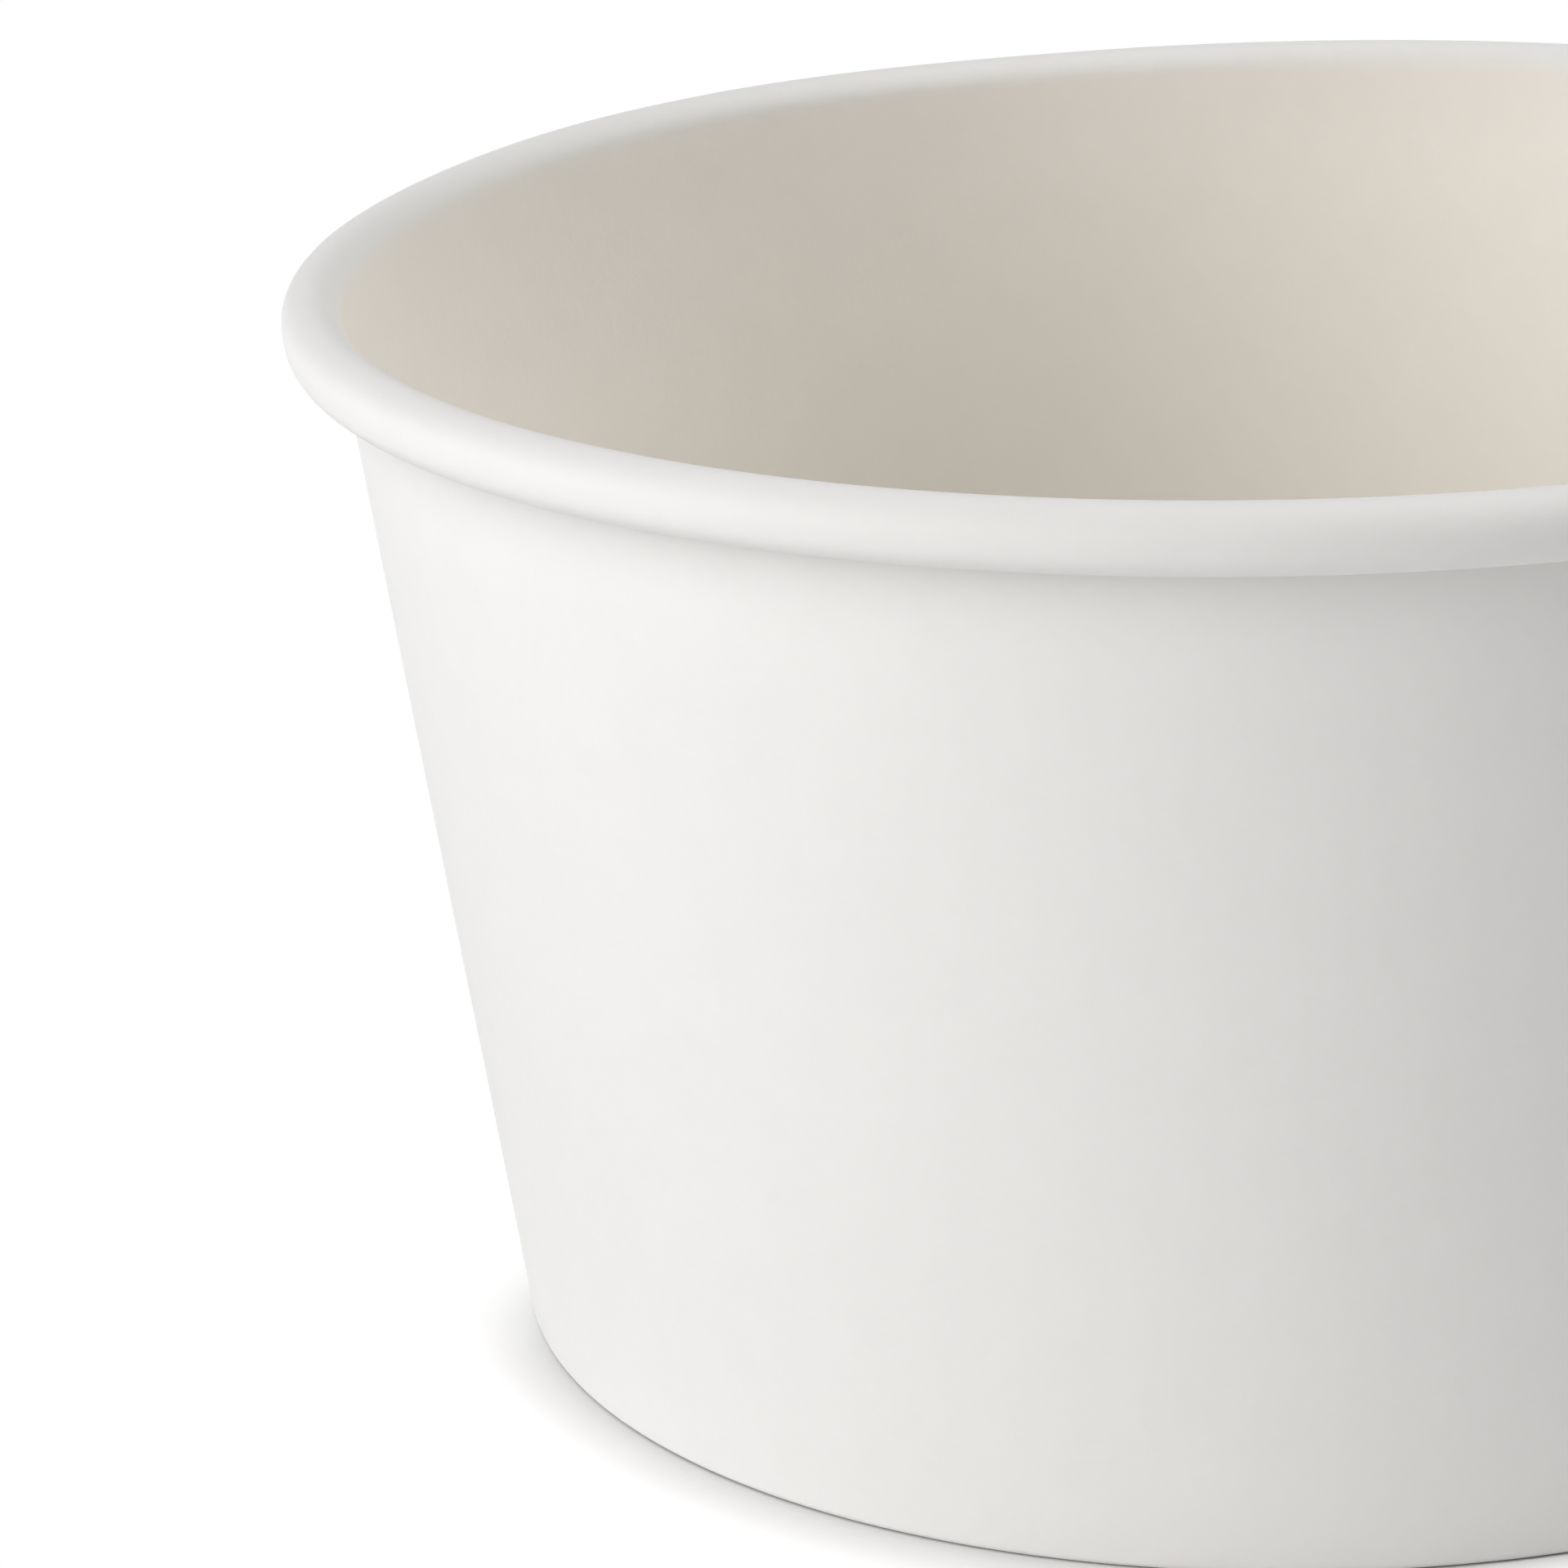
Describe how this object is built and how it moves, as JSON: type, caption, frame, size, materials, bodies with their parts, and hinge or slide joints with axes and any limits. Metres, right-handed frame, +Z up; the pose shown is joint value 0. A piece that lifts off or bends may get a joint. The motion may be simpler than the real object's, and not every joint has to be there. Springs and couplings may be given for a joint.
{
  "type": "paper soup container",
  "caption": "Round paper bowl for hot soup: smooth conical white wall, rolled rim that a lid presses onto, lap side seam, and a recessed base held in a folded foot.",
  "frame": {"origin": "middle of the foot ring, on the surface that the container stands on", "axes": "+Z up along the container's axis, from the foot to the open rim; +X towards the lap seam"},
  "size_m": [0.1152, 0.115, 0.0627],
  "materials": {
    "white_board": "matte coated board, white outside, cream film inside",
    "base_board": "matte coated board, cream film inside"
  },
  "bodies": {
    "root": {"sidewall": "white_board", "base_disc": "base_board"}
  },
  "joints": []
}
